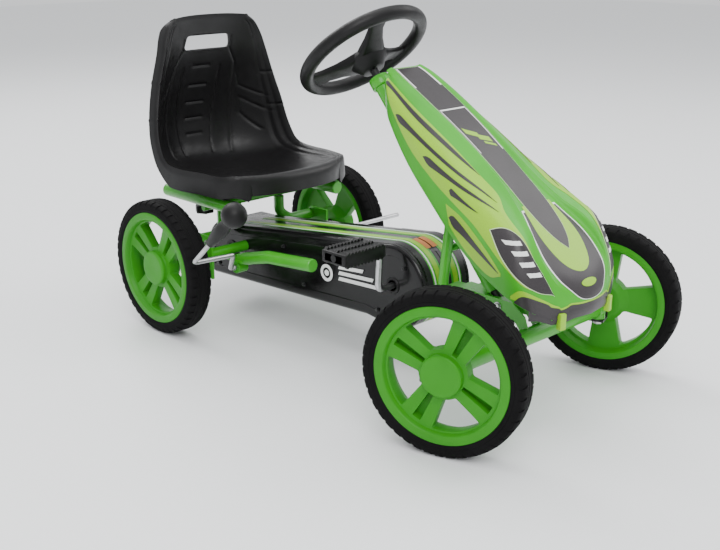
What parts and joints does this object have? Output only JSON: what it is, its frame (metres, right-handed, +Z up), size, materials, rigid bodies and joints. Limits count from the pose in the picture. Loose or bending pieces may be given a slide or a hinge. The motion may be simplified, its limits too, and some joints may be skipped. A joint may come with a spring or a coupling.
{
  "type": "pedal go kart",
  "caption": "Ride-on pedal go kart for children, chain driven, with a bucket seat, steering wheel, nose fairing, foam tyres and a hand brake.",
  "frame": {"origin": "centre of the bounding box at the floor, in the rest pose with the front wheels steered to the driver's left", "axes": "+Y from the front of the kart to its back, +X to the driver's left, +Z up"},
  "size_m": [0.5856, 1.0748, 0.6394],
  "materials": {
    "green_paint": "gloss powder coat",
    "green_plastic": "satin moulded",
    "black_plastic": "fine moulded grain",
    "case_plastic": "gloss moulded",
    "black_foam": "matte foam",
    "black_steel": "satin",
    "bright_steel": "zinc plated",
    "chain_steel": "oiled"
  },
  "bodies": {
    "frame": {"front_axle_beam": "green_paint", "front_channel": "green_paint", "main_beam": "green_paint", "bottom_bracket": "green_paint", "steering_column_tube": "green_paint", "fairing": "green_plastic", "fairing_top_bar": "green_paint", "rear_cross_tube": "green_paint", "seat_cross_tube": "green_paint", "chain": "chain_steel", "chain_case_left": "case_plastic", "chain_case_right": "case_plastic", "fairing_post_left": "green_paint", "fairing_brace_left": "green_paint", "rear_bearing_plate_left": "green_paint", "rear_bearing_left": "black_plastic", "seat_post_left": "green_paint", "seat_rail_left": "green_paint", "side_rail_left": "green_paint", "fairing_post_right": "green_paint", "fairing_brace_right": "green_paint", "rear_bearing_plate_right": "green_paint", "rear_bearing_right": "black_plastic", "seat_post_right": "green_paint", "seat_rail_right": "green_paint", "side_rail_right": "green_paint"},
    "steering": {"steering_column": "black_steel", "steering_wheel": "black_plastic"},
    "tie_rod": {"tie_rod": "black_steel"},
    "knuckle_left": {"knuckle_bracket_left": "black_steel", "kingpin_bolt_left": "bright_steel"},
    "front_wheel_left": {"front_wheel_left_rim": "green_plastic", "front_wheel_left_tyre": "black_foam", "front_wheel_left_hub_cap": "green_plastic"},
    "knuckle_right": {"knuckle_bracket_right": "black_steel", "kingpin_bolt_right": "bright_steel"},
    "front_wheel_right": {"front_wheel_right_rim": "green_plastic", "front_wheel_right_tyre": "black_foam", "front_wheel_right_hub_cap": "green_plastic"},
    "crank": {"crank": "bright_steel", "chainring": "chain_steel"},
    "pedal_left": {"pedal_left": "black_plastic"},
    "pedal_right": {"pedal_right": "black_plastic"},
    "rear_axle": {"rear_axle": "bright_steel", "rear_sprocket": "chain_steel", "axle_spacer_left": "black_plastic", "axle_spacer_right": "black_plastic", "rear_wheel_right_rim": "green_plastic", "rear_wheel_right_tyre": "black_foam", "rear_wheel_right_hub_cap": "green_plastic"},
    "rear_wheel_left": {"rear_wheel_left_rim": "green_plastic", "rear_wheel_left_tyre": "black_foam", "rear_wheel_left_hub_cap": "green_plastic"},
    "seat": {"seat_shell": "black_plastic", "seat_slider_left": "black_steel", "seat_slider_right": "black_steel"},
    "seat_knob": {"seat_knob": "black_plastic"},
    "brake": {"brake_bar": "bright_steel", "brake_grip": "black_plastic"}
  },
  "joints": [
    {"name": "steering_turn", "type": "hinge", "parent": "frame", "child": "steering", "pos_m": [0, -0.03661, 0.506], "axis": [0, 0.6494, 0.7604], "range_deg": [-73, 14.5]},
    {"name": "tie_rod_slide", "type": "slide", "parent": "frame", "child": "tie_rod", "axis": [1, 0, 0], "range_m": [-0.0085, 0.0406]},
    {"name": "knuckle_turn_left", "type": "hinge", "parent": "frame", "child": "knuckle_left", "pos_m": [0.19, -0.39461, 0.127], "axis": [0, 0, 1], "range_deg": [-47, 9.5]},
    {"name": "front_wheel_spin_left", "type": "hinge", "parent": "knuckle_left", "child": "front_wheel_left", "pos_m": [0.23028, -0.38106, 0.1323], "axis": [0.9478, 0.319, 0], "continuous": true},
    {"name": "knuckle_turn_right", "type": "hinge", "parent": "frame", "child": "knuckle_right", "pos_m": [-0.19, -0.39461, 0.127], "axis": [0, 0, 1], "range_deg": [-47, 9.5]},
    {"name": "front_wheel_spin_right", "type": "hinge", "parent": "knuckle_right", "child": "front_wheel_right", "pos_m": [-0.23028, -0.40817, 0.1323], "axis": [0.9478, 0.319, 0], "continuous": true},
    {"name": "rear_axle_spin", "type": "hinge", "parent": "frame", "child": "rear_axle", "pos_m": [0, 0.32989, 0.1323], "axis": [1, 0, 0], "continuous": true},
    {"name": "rear_wheel_spin_left", "type": "hinge", "parent": "rear_axle", "child": "rear_wheel_left", "pos_m": [0.2325, 0.32989, 0.1323], "axis": [1, 0, 0], "continuous": true},
    {"name": "crank_spin", "type": "hinge", "parent": "frame", "child": "crank", "pos_m": [0, -0.13261, 0.163], "axis": [1, 0, 0], "continuous": true},
    {"name": "pedal_spin_left", "type": "hinge", "parent": "crank", "child": "pedal_left", "pos_m": [0.16, -0.12761, 0.081], "axis": [1, 0, 0], "continuous": true},
    {"name": "pedal_spin_right", "type": "hinge", "parent": "crank", "child": "pedal_right", "pos_m": [-0.16, -0.13761, 0.245], "axis": [1, 0, 0], "continuous": true},
    {"name": "brake_pull", "type": "hinge", "parent": "frame", "child": "brake", "pos_m": [0, 0.25539, 0.12], "axis": [-1, 0, 0], "range_deg": [0, 31]},
    {"name": "seat_slide", "type": "slide", "parent": "frame", "child": "seat", "axis": [0, 1, 0], "range_m": [-0.02, 0.03]},
    {"name": "seat_knob_turn", "type": "hinge", "parent": "seat", "child": "seat_knob", "pos_m": [-0.078, 0.39739, 0.22], "axis": [0, 0, 1], "continuous": true}
  ],
  "couplings": [
    {"joint": "tie_rod_slide", "follows": "steering_turn", "m_per_rad": -0.0316},
    {"joint": "knuckle_turn_left", "follows": "steering_turn", "ratio": 0.6364},
    {"joint": "knuckle_turn_right", "follows": "steering_turn", "ratio": 0.6364},
    {"joint": "crank_spin", "follows": "rear_axle_spin", "ratio": 0.5}
  ]
}
